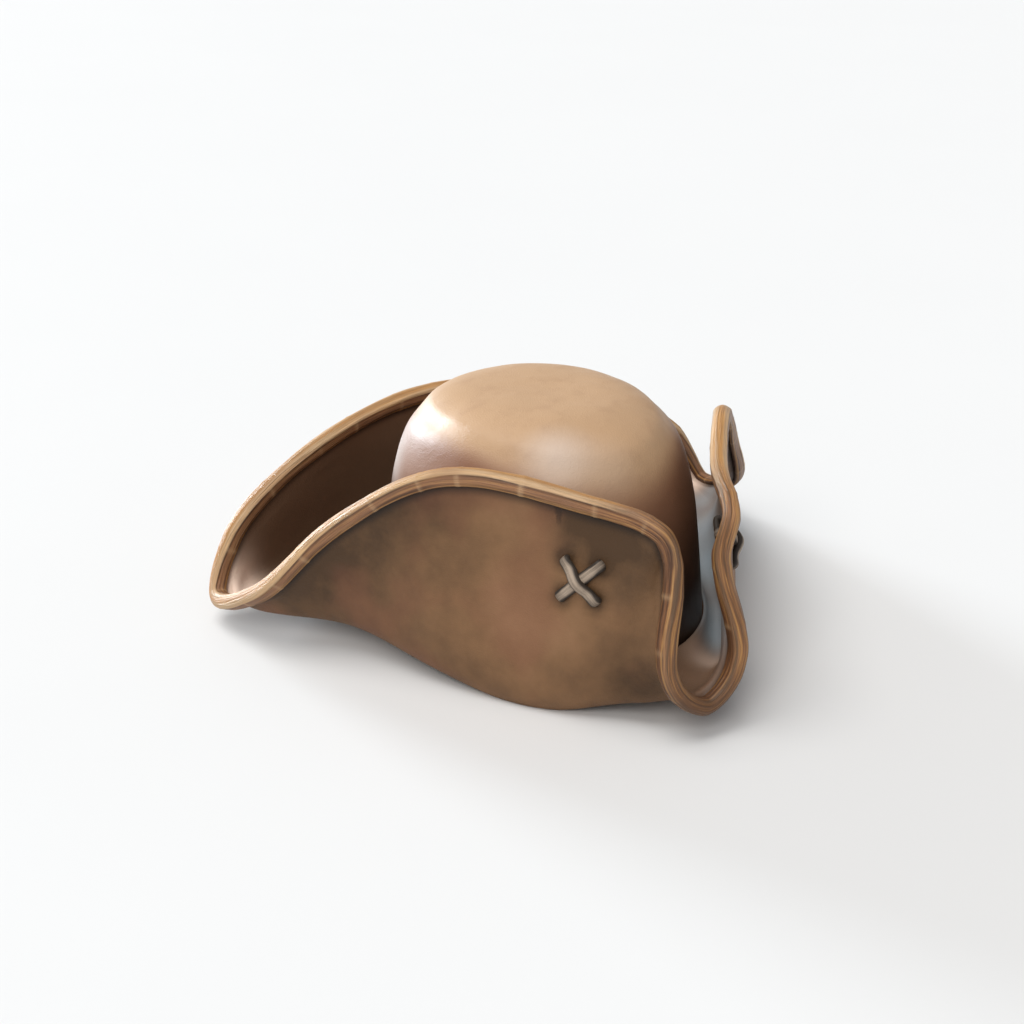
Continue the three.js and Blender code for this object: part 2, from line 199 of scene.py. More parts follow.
class Bench:
    """Makes the nodes of one shader or geometry tree."""

    pore_scale: Number = 1300
    fine_scale: Number = 900

    def __init__(self, tree: Tree) -> None:
        """Keeps the tree."""
        self.tree = tree

    def node(self, kind: str, settings: dict, inputs: dict, output: Union[str, int] = 0) -> Wire:
        """Adds any node.

        Args:
            kind: The node's type.
            settings: The node's own properties, set first. "stops" holds a ramp's stops.
            inputs: Values or wires by socket name or number.
            output: The socket that is returned.

        Returns:
            That socket, as a wire.
        """
        made = self.tree.nodes.new(kind)
        for key, value in settings.items():
            if key == "stops":
                self._fill_ramp(made.color_ramp, value)
            else:
                setattr(made, key, value)
        for key, value in inputs.items():
            socket = made.inputs[key]
            if isinstance(value, Wire):
                self.tree.links.new(value.socket, socket)
            elif isinstance(value, tuple) and socket.type == "RGBA":
                socket.default_value = (*value, 1.0)
            else:
                socket.default_value = value
        return Wire(self, made.outputs[output])

    @staticmethod
    def _fill_ramp(ramp: bpy.types.ColorRamp, stops: Sequence[tuple[float, Colour]]) -> None:
        """Sets a ramp's stops.

        Args:
            ramp: The ramp.
            stops: The place and the colour of each stop.
        """
        while len(ramp.elements) < len(stops):
            ramp.elements.new(1.0)
        for element, (place, shade) in zip(ramp.elements, stops):
            element.position = place
            element.color = (*shade, 1.0)

    def blend(self, first: Any, second: Any, share: Any) -> Wire:
        """Mixes two colours, by the share of the second."""
        settings = {"data_type": "RGBA", "blend_type": "MIX"}
        return self.node("ShaderNodeMix", settings, {0: share, 6: first, 7: second}, 2)

    def layered(self, base: Any, *layers: tuple[Any, Any]) -> Wire:
        """Lays colours over a first one.

        Args:
            base: The first colour.
            layers: Each colour with its share.

        Returns:
            The mixed colour.
        """
        for shade, share in layers:
            base = self.blend(base, shade, share)
        return base

    def ramp(self, value: Wire, stops: Sequence[tuple[float, Colour]]) -> Wire:
        """Turns a value into a colour by a ramp of stops."""
        return self.node("ShaderNodeValToRGB", {"stops": stops}, {0: value})

    def place(self) -> Wire:
        """The point on the object, in metres."""
        return self.node("ShaderNodeTexCoord", {}, {}, "Object")

    def mark(self, name: str, output: str = "Fac") -> Wire:
        """An attribute that the piece's mesh carries."""
        return self.node("ShaderNodeAttribute", {"attribute_name": name}, {}, output)

    def vector(self, operation: str, first: Any, second: Any, output: str = "Vector") -> Wire:
        """Adds one Vector Math node."""
        return self.node("ShaderNodeVectorMath", {"operation": operation}, {0: first, 1: second}, output)

    def split(self, where: Wire) -> list[Wire]:
        """The three numbers of a vector."""
        return [self.node("ShaderNodeSeparateXYZ", {}, {0: where}, k) for k in range(3)]

    def noise(self, where: Wire, scale: Number, detail: Number = 3, rough: Number = 0.5) -> Wire:
        """Cloudy noise of 0 to 1, by the clouds to a unit, the number of finer layers and their strength."""
        inputs = {"Vector": where, "Scale": scale, "Detail": detail, "Roughness": rough}
        return self.node("ShaderNodeTexNoise", {}, inputs)

    def grain(self, where: Wire) -> tuple[Wire, Wire]:
        """The pores of a hide, as the distance to the nearest of scattered points, and its fine grain."""
        pores = self.node("ShaderNodeTexVoronoi", {}, {"Vector": where, "Scale": self.pore_scale})
        return pores, self.noise(where, self.fine_scale, 3, 0.6)

    def relief(self, *layers: tuple[Wire, Number]) -> Wire:
        """Bumps the surface in layers.

        Args:
            layers: The height of each, 0 to 1, and how far 0 to 1 rises, in metres.

        Returns:
            The bumped normal.
        """
        inputs: dict = {"Strength": 1.0}
        for height, depth in layers:
            inputs["Normal"] = self.node("ShaderNodeBump", {}, {**inputs, "Height": height, "Distance": depth})
        return inputs["Normal"]


@dataclass(frozen=True)
class Finish:
    """A leather finish, whose subclasses paint it."""

    name: str
    specular: float = 0.45

    def material(self) -> bpy.types.Material:
        """Makes the node material.

        Returns:
            The material, with its colour, roughness and normal painted by the subclass.
        """
        made = bpy.data.materials.new(self.name)
        made.use_nodes = True
        bench = Bench(made.node_tree)
        shader = made.node_tree.nodes["Principled BSDF"]
        shader.inputs["Specular IOR Level"].default_value = self.specular
        for socket, wire in self.paint(bench).items():
            made.node_tree.links.new(wire.socket, shader.inputs[socket])
        return made

    def paint(self, bench: Bench) -> dict[str, Wire]:
        """Gives the wires of the shader sockets that vary, by the socket's name."""
        raise NotImplementedError


@dataclass(frozen=True)
class BrimFinish(Finish):
    """Worn brown hide, mottled, with painted shade next to the binding and round the thong ends, glossier inside the
    flaps, with a painted bluish reflection along their insides and painted light in the rear tips and at the front by
    the crown.
    """

    pale: Colour = colour(155, 118, 86)
    mid: Colour = colour(126, 93, 63)
    dark: Colour = colour(74, 52, 31)
    ruddy: Colour = colour(122, 76, 56)
    inside: Colour = colour(124, 96, 76)
    # Painted bluish reflection for the inside of the flaps
    bloom: Colour = colour(176, 190, 198)
    # Painted light for shaded pockets inside the flaps
    glow: Colour = colour(250, 222, 202)
    # Dark colour for the painted shade next to the binding and for the scratch
    shade_and_scratch: Colour = colour(30, 21, 15)
    scratch: tuple[float, float, float] = (0.0478, -0.0915, 0.115)
    scratch_length: float = 0.013
    scratch_width: tuple[float, float] = (0.0002, 0.0008)
    binding_shade_levels: tuple[float, float] = (6.0, 12.5)

    def paint(self, bench: Bench) -> dict[str, Wire]:
        """Paints the mottled hide with its stains, painted shade next to the binding and round the thong ends,
        painted reflection and light inside the flaps, and a scratch.

        Args:
            bench: The bench of the material's tree.

        Returns:
            The wires of the shader sockets that vary, by the socket's name.
        """
        place = bench.place()
        clouds = bench.noise(place, 15)
        mottle = bench.noise(place, 52, 5, 0.62)
        warmth = bench.noise(place, 22, 2, 0.4)
        # The stain mark also holds painted contact shade round the thong ends
        stain = bench.mark("stain") * (0.7 + clouds * 0.6)
        inner = bench.mark("inner")
        tone = (clouds * 0.62 + mottle * 0.42 - 0.03 - stain * 0.5).clamped()
        # Painted bluish reflection along the inside of the flaps, which are also a little glossier there
        bloom = (bench.mark("bloom") * (0.4 + clouds * 1.1)).clamped()
        # Painted light in the shaded rear tips and at the front by the crown
        glow = (bench.mark("glow") * (0.6 + clouds * 0.7)).clamped()
        scratch = self.scratched(bench, place) * (1 - inner)
        hide = bench.layered(
            bench.ramp(tone, [(0.16, self.dark), (0.5, self.mid), (0.84, self.pale)]),
            (self.ruddy, warmth.above(0.5, 0.7) * 0.35),
            (self.inside, inner * 0.8),
            (self.bloom, bloom * 0.85),
            (self.glow, glow * 0.9),
            # Painted shade next to the binding, left off the painted light; the next layer is a real scratch in the
            # same colour
            (self.shade_and_scratch, (1 - bench.mark("rim").above(*self.binding_shade_levels)) * 0.8 * (1 - glow)),
            (self.shade_and_scratch, scratch * 0.5),
        )
        pores, fine = bench.grain(place)
        rough = 0.42 + mottle * 0.24 + pores * 0.06 - inner * 0.1 - bloom * 0.12
        relief = bench.relief((pores, 0.00009), (fine, 0.00012), (mottle, 0.0007), (1 - scratch, 0.0004))
        return {"Base Color": hide, "Roughness": rough, "Normal": relief}

    def scratched(self, bench: Bench, place: Wire) -> Wire:
        """A short upright scratch below the binding on each side flap.

        Args:
            bench: The bench of the material's tree.
            place: The point on the object.

        Returns:
            How much of the scratch shows, 0 to 1.
        """
        x, y, z = bench.split(place)
        across, along, up = abs(x) - self.scratch[0], y - self.scratch[1], z - self.scratch[2]
        wander = (bench.noise(place, 260, 2) - 0.5) * 0.0016
        line = abs(across - along * 0.2 + up * 0.1 + wander)
        near = 1 - abs(along).above(0.01, 0.02)
        length = 1 - abs(up).above(self.scratch_length * 0.5, self.scratch_length)
        return (1 - line.above(*self.scratch_width)) * near * length


@dataclass(frozen=True)
class CrownFinish(Finish):
    """Tan waxed hide, brown down the sides, painted pale on its cap as lit from above and painted dark low down as
    shade, with painted highlights by the ridge and on the wearer's right rear shoulder.
    """

    # The cap colour is painted light from above and the low colour is painted shade
    top: Colour = colour(188, 153, 118)
    side: Colour = colour(138, 98, 74)
    low: Colour = colour(52, 36, 28)
    # Painted highlight colour, laid on the spots listed below
    painted_highlight: Colour = colour(216, 207, 202)
    low_shade_levels: tuple[float, float] = (0.035, 0.1)
    cap: tuple[float, float, float] = HatSizes().cap()
    lit_cap_levels: tuple[float, float] = (0.94, 1.09)
    highlight_spots: tuple[Stain, ...] = patches(
        (-0.068, 0.064, 0.094, 0.03, 0.6), (-0.03, -0.05, 0.124, 0.028, 0.38), (-0.008, -0.062, 0.118, 0.024, 0.12),
    )

    def paint(self, bench: Bench) -> dict[str, Wire]:
        """Paints the waxed hide with painted light on its cap, painted shade low down and painted highlight spots.

        Args:
            bench: The bench of the material's tree.

        Returns:
            The wires of the shader sockets that vary, by the socket's name.
        """
        place = bench.place()
        x, y, z = bench.split(place)
        across, along = x / self.cap[0], (y - self.cap[2]) / self.cap[1]
        clouds = bench.noise(place, 14)
        mottle = bench.noise(place, 60, 5, 0.6)
        ring = (across * across + along * along).maths("SQRT") + (clouds - 0.5) * 0.08
        # Painted shade low on the crown and painted light on the cap
        hide = bench.layered(
            self.low,
            (self.side, (z + (clouds - 0.5) * 0.02).above(*self.low_shade_levels)),
            (self.top, 1 - ring.above(*self.lit_cap_levels)),
            (self.side, mottle.above(0.45, 0.75) * 0.2),
        )
        # Painted highlight spots: on the wearer's right rear shoulder and along the front of the ridge
        for spot in self.highlight_spots:
            apart = bench.vector("DISTANCE", place, spot.place, "Value")
            hide = bench.blend(hide, self.painted_highlight, (1 - apart.above(0.0, spot.reach)) * spot.strength)
        pores, fine = bench.grain(place)
        rough = 0.34 + mottle * 0.2 + pores * 0.05
        relief = bench.relief((pores, 0.00007), (fine, 0.0001), (mottle, 0.0004))
        return {"Base Color": hide, "Roughness": rough, "Normal": relief}


@dataclass(frozen=True)
class BindingFinish(Finish):
    """Streaked brown leather with a painted highlight along its crest, golden at its foot, with a few cross marks and
    painted shade towards the front.
    """

    # The crest colour paints a highlight along the top of the binding, and also colours the cross marks
    crest: Colour = colour(216, 181, 138)
    body: Colour = colour(148, 106, 74)
    # Deep brown and groove colours draw streaks and lines, and are also laid on as painted shade towards the front
    deep: Colour = colour(126, 82, 50)
    groove: Colour = colour(62, 37, 20)
    gold: Colour = colour(188, 138, 80)
    front_levels: tuple[float, float] = (0.09, 0.13)
    spout_levels: tuple[float, float] = (0.012, 0.045)

    def paint(self, bench: Bench) -> dict[str, Wire]:
        """Paints the streaked hide with its bands, a painted highlight on the crest, cross marks and painted shade
        towards the front.

        Args:
            bench: The bench of the material's tree.

        Returns:
            The wires of the shader sockets that vary, by the socket's name.
        """
        wind = bench.mark("wind", "Vector")
        rise = bench.mark("rise")
        streaks = bench.noise(bench.vector("MULTIPLY", wind, (16, 16, 420)), 1.0, 4, 0.6)
        strands = bench.noise(bench.vector("MULTIPLY", wind, (34, 34, 1100)), 1.0, 3, 0.6)
        clouds = bench.noise(wind, 26)
        # The crest stops paint a highlight along the top of the binding
        bands = bench.ramp(rise + (streaks - 0.5) * 0.3, [
            (0.0, self.groove), (0.08, self.gold), (0.17, self.groove), (0.3, self.body), (0.56, self.body),
            (0.66, self.groove), (0.76, self.crest), (0.9, self.crest), (1.0, self.gold),
        ])
        tone = (streaks * 0.7 + strands * 0.45 - 0.08).clamped()
        grain = bench.ramp(tone, [(0.41, self.groove), (0.5, self.deep), (0.6, self.gold)])
        x, y, z = bench.split(bench.place())
        # Towards the front corner and in the spout the binding is painted darker and more streaked as painted shade,
        # most on the wearer's right
        front = (y * -1).above(*self.front_levels)
        spout = front * (1 - z.above(*self.spout_levels))
        shade = front * (0.05 + (1 - x.above(-0.01, 0.01)) * 0.1) + spout * 0.5
        hide = bench.layered(
            bands,
            (grain, 0.32 + front * 0.53),
            (self.body, clouds.above(0.45, 0.7) * (0.35 - front * 0.2)),
            (self.crest, bench.mark("tick") * (1 - rise.above(0.6, 0.85)) * 0.4),
            (self.deep, front * 0.12),
            (self.groove, shade.clamped()),
        )
        relief = bench.relief((streaks, 0.0014), (strands, 0.0006))
        return {"Base Color": hide, "Roughness": 0.36 + streaks * 0.25, "Normal": relief}


@dataclass(frozen=True)
class LaceFinish(Finish):
    """Dry greyed thong, darker towards its ends, with painted shade along its edges."""

    pale: Colour = colour(166, 148, 130)
    dark: Colour = colour(48, 39, 31)

    def paint(self, bench: Bench) -> dict[str, Wire]:
        """Paints the greyed thong with its dark ends and painted shade along its edges.

        Args:
            bench: The bench of the material's tree.

        Returns:
            The wires of the shader sockets that vary, by the socket's name.
        """
        wind = bench.mark("wind", "Vector")
        fibres = bench.noise(bench.vector("MULTIPLY", wind, (60, 60, 900)), 1.0, 4, 0.6)
        # Painted shade along both edges of the thong
        edge = bench.mark("rise").above(0.45, 0.95)
        tone = (fibres * 0.8 + 0.2 - bench.mark("tick") * 0.35 - edge * 0.65).clamped()
        hide = bench.ramp(tone, [(0.1, self.dark), (0.62, self.pale)])
        return {"Base Color": hide, "Roughness": 0.5 + fibres * 0.25, "Normal": bench.relief((fibres, 0.0005))}


@dataclass(frozen=True)
class FloorFinish(Finish):
    """Plain pale studio paper."""

    shade: Colour = (0.74, 0.74, 0.74)
    fleck: Colour = (0.72, 0.72, 0.72)

    def paint(self, bench: Bench) -> dict[str, Wire]:
        """Paints the paper.

        Args:
            bench: The bench of the material's tree.

        Returns:
            The wires of the shader sockets that vary, by the socket's name.
        """
        grain = bench.noise(bench.place(), 4, 2)
        paper = bench.blend(self.shade, self.fleck, grain)
        return {"Base Color": paper, "Roughness": 0.8 + grain * 0.1}


@dataclass(frozen=True)
class Section:
    """One section of the brim from the crown to the edge, in shares of the hat's sizes.

    The angle is where it leaves the crown, in degrees from the front. Steps is the number of strips to the next one.
    """

    edge: tuple[float, float, float]
    fold: tuple[float, float, float]
    angle: float
    roundness: float
    steps: int


SECTIONS = (
    Section((0.0, -1.0, 0.135), (0.0, -0.81, 0.1), 0, 0.6, 2),
    Section((0.092, -0.99, 0.22), (0.05, -0.815, 0.095), 3, 0.7, 2),
    Section((0.126, -0.975, 0.367), (0.105, -0.8, 0.08), 6, 0.8, 3),
    Section((0.079, -0.924, 0.761), (0.17, -0.743, 0.045), 9, 0.75, 3),
    Section((0.12, -0.903, 0.945), (0.26, -0.65, -0.015), 17, 0.75, 3),
    Section((0.236, -0.656, 0.992), (0.36, -0.52, -0.057), 32, 1.0, 4),
    Section((0.505, -0.26, 1.0), (0.53, -0.22, 0.03), 62, 1.0, 4),
    Section((0.748, 0.045, 0.676), (0.635, 0.085, 0.11), 90, 1.0, 4),
    Section((0.922, 0.247, 0.302), (0.76, 0.29, 0.11), 108, 0.9, 4),
    Section((0.969, 0.54, 0.125), (0.85, 0.46, 0.1), 120, 0.7, 4),
    Section((0.862, 0.6, 0.42), (0.735, 0.6, 0.09), 132, 0.9, 4),
    Section((0.472, 0.712, 0.705), (0.46, 0.75, -0.02), 152, 1.0, 5),
    Section((0.0, 0.826, 0.78), (0.0, 0.85, -0.045), 180, 1.0, 5),
)


def unit(vectors: Array) -> Array:
    """Scales vectors, along the last axis, to length 1."""
    return vectors / np.maximum(np.linalg.norm(vectors, axis=-1, keepdims=True), 1e-9)


def dots(first: Array, second: Array) -> Array:
    """The dot products of two lists of vectors, kept as a column."""
    return (first * second).sum(-1, keepdims=True)


def closed_curve(points: Array, share: float) -> Array:
    """A point of the closed centripetal spline through the points.

    Args:
        points: The spline's points, a row each.
        share: How far round, from 0 to 1.

    Returns:
        The point.
    """
    count = len(points)
    place = count * share
    first = int(math.floor(place))
    weight = place - first
    p0, p1, p2, p3 = (points[(first + k) % count] for k in (-1, 0, 1, 2))
    d0, d1, d2 = (np.sum((b - a) ** 2) ** 0.25 for a, b in ((p0, p1), (p1, p2), (p2, p3)))
    t1 = ((p1 - p0) / d0 - (p2 - p0) / (d0 + d1) + (p2 - p1) / d1) * d1
    t2 = ((p2 - p1) / d1 - (p3 - p1) / (d1 + d2) + (p3 - p2) / d2) * d1
    c2 = -3 * p1 + 3 * p2 - 2 * t1 - t2
    c3 = 2 * p1 - 2 * p2 + t1 + t2
    return p1 + t1 * weight + c2 * weight**2 + c3 * weight**3


def bezier(a: Array, b: Array, c: Array, d: Array, t: float) -> Array:
    """The point at share t of a cubic through a and d, led by b and c."""
    s = 1 - t
    return a * s**3 + b * (3 * s * s * t) + c * (3 * s * t * t) + d * t**3


def eased(rows: Array, passes: int) -> Array:
    """Evens out directions round the hat, from station to station.

    Args:
        rows: The directions, a row for each station.
        passes: How often they are evened.

    Returns:
        The evened directions.
    """
    for _ in range(passes):
        rows = unit(rows * 2 + np.roll(rows, 1, 0) + np.roll(rows, -1, 0))
    return rows


def finer(values: Array, times: int, closed: bool) -> Array:
    """Adds rows between rows, on smooth curves through them.

    Args:
        values: The rows, along the first axis.
        times: How many rows one becomes.
        closed: Whether the last row joins the first.

    Returns:
        The finer rows.
    """
    if closed:
        before, start, end, after = (np.roll(values, shift, 0) for shift in (1, 0, -1, -2))
    else:
        padded = np.concatenate([2 * values[:1] - values[1:2], values, 2 * values[-1:] - values[-2:-1]])
        before, start, end, after = padded[:-3], padded[1:-2], padded[2:-1], padded[3:]
    parts = []
    for step in range(times):
        t = step / times
        parts.append(
            start
            + 0.5 * t * (end - before)
            + t * t * (before - 2.5 * start + 2 * end - 0.5 * after)
            + t**3 * (1.5 * start - 0.5 * before - 1.5 * end + 0.5 * after)
        )
    made = np.stack(parts, 1).reshape(-1, *values.shape[1:])
    return made if closed else np.concatenate([made, values[-1:]])


class CockedForm:
    """The brim's middle surface and its edge, as stations round the hat."""

    run_rows: int = 4
    wall_rows: int = 8
    easing: int = 4
    relaxing: int = 5
    share_step: float = 0.0001

    def __init__(self, sizes: HatSizes) -> None:
        """Works out the stations and the grid of points from the section table.

        Args:
            sizes: The hat's sizes.
        """
        self.sizes = sizes
        right = [(s, -1) for s in SECTIONS]
        left = [(s, 1) for s in SECTIONS[-2:0:-1]]
        every = right + left
        half = len(SECTIONS) - 1
        scale = np.array([sizes.half_width, sizes.front_reach, sizes.flap_height])
        edges = np.array([np.array(s.edge) * scale * (side, 1, 1) for s, side in every])
        folds = np.array([np.array(s.fold) * scale * (side, 1, 1) for s, side in every])
        angles = [s.angle if i <= half else 360 - s.angle for i, (s, _) in enumerate(every)]
        steps = [SECTIONS[i if i < half else len(every) - 1 - i].steps for i in range(len(every))]
        shares, turns, rounds = [], [], []
        for i, (section, _) in enumerate(every):
            following = (i + 1) % len(every)
            next_angle = angles[following] or 360
            next_round = every[following][0].roundness
            for step in range(steps[i]):
                t = step / steps[i]
                shares.append((i + t) / len(every))
                turns.append(angles[i] + (next_angle - angles[i]) * t)
                rounds.append(section.roundness + (next_round - section.roundness) * t)
        self.angle = np.radians(turns)[:, None]
        self.rounding = np.array(rounds)[:, None] * sizes.fold_rounding
        self.edge = np.array([closed_curve(edges, share) for share in shares])
        self.fold = np.array([closed_curve(folds, share) for share in shares])
        along_fold = self._tangents(folds, shares)
        self._set_directions(along_fold)
        self.grid = self._relaxed(self._sections())

    def _tangents(self, points: Array, shares: Sequence[float]) -> Array:
        """The directions of a closed spline.

        Args:
            points: The spline's points.
            shares: How far round, from 0 to 1, for each direction.

        Returns:
            The directions.
        """
        starts = [closed_curve(points, max(share - self.share_step, 0)) for share in shares]
        ends = [closed_curve(points, min(share + self.share_step, 1)) for share in shares]
        return unit(np.array(ends) - np.array(starts))

    def _set_directions(self, along_fold: Array) -> None:
        """Works out each station's directions: along the edge, out of the hat, up the wall and square to it.

        Args:
            along_fold: The fold's direction at each station.
        """
        back = unit(self.edge - np.roll(self.edge, 1, 0))
        on = unit(np.roll(self.edge, -1, 0) - self.edge)
        self.along = unit(back + on)
        outward = unit(np.stack([along_fold[:, 1], -along_fold[:, 0], np.zeros(len(along_fold))], 1))
        from_crown = self.fold - (0, self.sizes.crown_setback, 0)
        from_crown[:, 2] = 0
        outward = np.where(dots(outward, from_crown) < 0, -outward, outward)
        self.outward = eased(outward, self.easing)
        rise = self.edge - self.fold - self.outward * self.rounding * self.sizes.edge_lean
        normal = eased(unit(np.cross(self.along, rise)), self.easing)
        self.normal = unit(normal - self.along * dots(normal, self.along))
        self.across = unit(np.cross(self.normal, self.along))
        self.rise = rise - self.normal * dots(rise, self.normal)

    def _sections(self) -> Array:
        """Draws each section from the head opening to the edge.

        Returns:
            The middle of the leather, stations by rows.
        """
        sizes = self.sizes
        grow = sizes.leather + sizes.seam_gap
        start = np.concatenate([
            -(sizes.head_width / 2 + grow) * np.sin(self.angle),
            sizes.crown_setback - (sizes.head_length / 2 + grow) * np.cos(self.angle),
            np.full_like(self.angle, sizes.head_edge_height),
        ], 1)
        run = self.fold - start
        run[:, 2] = 0
        foot = self.edge - self.across * sizes.rim_band
        arriving = self.fold - self.outward * self.rounding * sizes.run_ease
        low = self.fold + self.outward * self.rounding
        high = foot - self.rise * sizes.wall_ease
        rows = [bezier(start, start + run / 3, arriving, self.fold, r / self.run_rows) for r in range(self.run_rows)]
        rows += [bezier(self.fold, low, high, foot, r / self.wall_rows) for r in range(self.wall_rows + 1)]
        return np.stack([*rows, self.edge], 1)

    def crossing(self, thong: Thong) -> tuple[Array, Array, Array]:
        """Where the thongs cross on the wearer's right flap, and one thong's directions there.

        Args:
            thong: The thong.

        Returns:
            The crossing point, the thong's run across the flap and the way out of the flap.
        """
        grid = self.grid
        along = self.sizes.lace_along * len(grid) / 2
        up = self.run_rows + self.sizes.lace_up * self.wall_rows
        i, j = int(along), int(up)
        row = grid[:, j] + (grid[:, j + 1] - grid[:, j]) * (up - j)
        middle = row[i] + (row[i + 1] - row[i]) * (along - i)
        outward = unit(np.cross(row[i - 1] - row[i + 2], grid[i, j + 2] - grid[i, j - 1]))
        outward = -outward if outward[0] > 0 else outward
        rise = unit(np.array([0, 0, 1]) - outward * outward[2])
        return middle, unit(np.cross(rise, outward) * thong.value + rise), outward

    def lace_ends(self) -> list[Array]:
        """Finds where thongs go through the wearer's right flap.

        Returns:
            The four places.
        """
        ends = []
        for thong in Thong:
            middle, run, _ = self.crossing(thong)
            ends += [middle + run * self.sizes.lace_reach(thong) * end for end in (-1, 1)]
        return ends

    def _relaxed(self, grid: Array) -> Array:
        """Evens the grid out between its head opening and its edge.

        Args:
            grid: The grid, stations by rows.

        Returns:
            The evened grid.
        """
        for _ in range(self.relaxing):
            inner = grid[:, 2:-2]
            beside = np.roll(inner, 1, 0) + np.roll(inner, -1, 0)
            grid = np.concatenate([
                grid[:, :2], (beside + grid[:, 1:-3] + grid[:, 3:-1] + 4 * inner) / 8, grid[:, -2:]
            ], 1)
        return grid


def ring_mesh(name: str, rows: Array) -> bpy.types.Mesh:
    """Makes a mesh that closes both ways, as a ring.

    Args:
        name: The mesh's name.
        rows: Points in metres, rows round the cut face by columns round the hat.

    Returns:
        The mesh, facing outwards and shaded smooth.
    """
    count, columns = rows.shape[:2]
    r, c = np.meshgrid(np.arange(count), np.arange(columns), indexing="ij")
    below, beside = (r + 1) % count, (c + 1) % columns
    corners = [r * columns + c, r * columns + beside, below * columns + beside, below * columns + c]
    faces = np.stack(corners, -1).reshape(-1, 4)
    points = rows.reshape(-1, 3)
    a, b, d = (points[faces[:, k]] for k in (0, 1, 2))
    if (a * np.cross(b, d)).sum() < 0:
        faces = faces[:, ::-1]
    mesh = bpy.data.meshes.new(name)
    mesh.from_pydata(points.tolist(), [], faces.tolist())
    mesh.shade_smooth()
    return mesh


def write_mark(mesh: bpy.types.Mesh, name: str, values: Array) -> None:
    """Stores a number or a vector for each vertex of a mesh.

    Args:
        mesh: The mesh.
        name: The attribute's name.
        values: A number or a vector for each vertex.
    """
    kind, key = ("FLOAT_VECTOR", "vector") if values.ndim > 1 else ("FLOAT", "value")
    mark = mesh.attributes.new(name, kind, "POINT")
    mark.data.foreach_set(key, values.astype(np.float32).ravel())


def show(name: str, mesh: bpy.types.Mesh) -> Thing:
    """Puts a mesh in the scene at the origin.

    Args:
        name: The object's name.
        mesh: Its mesh.

    Returns:
        The object.
    """
    made = bpy.data.objects.new(name, mesh)
    bpy.context.scene.collection.objects.link(made)
    return made


def discard(thing: Thing) -> None:
    """Removes a helper and its mesh.

    Args:
        thing: The helper object.
    """
    mesh = thing.data
    bpy.data.objects.remove(thing)
    bpy.data.meshes.remove(mesh)


def baked(name: str, base: Thing, build: Callable[[dict[str, Any]], Tree], values: dict[str, Any]) -> Thing:
    """Runs a geometry tree on an object and keeps its result as a plain mesh.

    Args:
        name: The finished piece's name.
        base: The object that the tree works on, which is removed.
        build: Makes the tree for its inputs.
        values: The tree's named inputs.

    Returns:
        The finished piece.
    """
    modifier = base.modifiers.new("form", "NODES")
    modifier.node_group = tree = build(values)
    sockets = {item.name: item.identifier for item in tree.interface.items_tree if item.item_type == "SOCKET"}
    for key, value in values.items():
        modifier[sockets[key]] = value
    bpy.context.view_layer.update()
    shape = base.evaluated_get(bpy.context.evaluated_depsgraph_get())
    mesh = bpy.data.meshes.new_from_object(shape)
    mesh.name = name
    base.modifiers.remove(modifier)
    discard(base)
    return show(name, mesh)


def tree_with(name: str, values: dict[str, Any]) -> tuple[Bench, dict[str, Wire]]:
    """Starts a geometry tree.

    Args:
        name: The tree's name.
        values: The values of its named inputs, which give each input's kind.

    Returns:
        The tree's bench and its inputs' wires by name.
    """
    tree = bpy.data.node_groups.new(name, "GeometryNodeTree")
    for way in ("INPUT", "OUTPUT"):
        tree.interface.new_socket("Geometry", in_out=way, socket_type="NodeSocketGeometry")
    for key, value in values.items():
        kind = next(kind for sort, kind in SOCKET_KINDS.items() if isinstance(value, sort))
        tree.interface.new_socket(key, in_out="INPUT", socket_type=f"NodeSocket{kind}")
    bench = Bench(tree)
    entry = tree.nodes.new("NodeGroupInput")
    return bench, {socket.name: Wire(bench, socket) for socket in entry.outputs if socket.name}


def end_tree(bench: Bench, shape: Wire, material: Wire) -> Tree:
    """Ends a geometry tree in real, smooth, painted faces.

    Args:
        bench: The tree's bench.
        shape: The shape.
        material: The wire of its material.

    Returns:
        The finished tree.
    """
    shape = bench.node("GeometryNodeSetShadeSmooth", {}, {0: shape})
    shape = bench.node("GeometryNodeRealizeInstances", {}, {0: shape})
    shape = bench.node("GeometryNodeSetMaterial", {}, {"Geometry": shape, "Material": material})
    leaving = bench.tree.nodes.new("NodeGroupOutput")
    bench.tree.links.new(shape.socket, leaving.inputs[0])
    return bench.tree


def named(bench: Bench, name: str, kind: str = "FLOAT") -> Wire:
    """A named attribute inside a geometry tree."""
    return bench.node("GeometryNodeInputNamedAttribute", {"data_type": kind}, {"Name": name})


def swollen(bench: Bench, shape: Wire, height: Wire) -> Wire:
    """Moves a shape's surface outwards.

    Args:
        bench: The bench of the geometry tree.
        shape: The shape.
        height: How far each point moves.

    Returns:
        The moved shape.
    """
    out = bench.node("GeometryNodeInputNormal", {}, {})
    offset = bench.node("ShaderNodeVectorMath", {"operation": "SCALE"}, {0: out, "Scale": height})
    return bench.node("GeometryNodeSetPosition", {}, {"Geometry": shape, "Offset": offset})


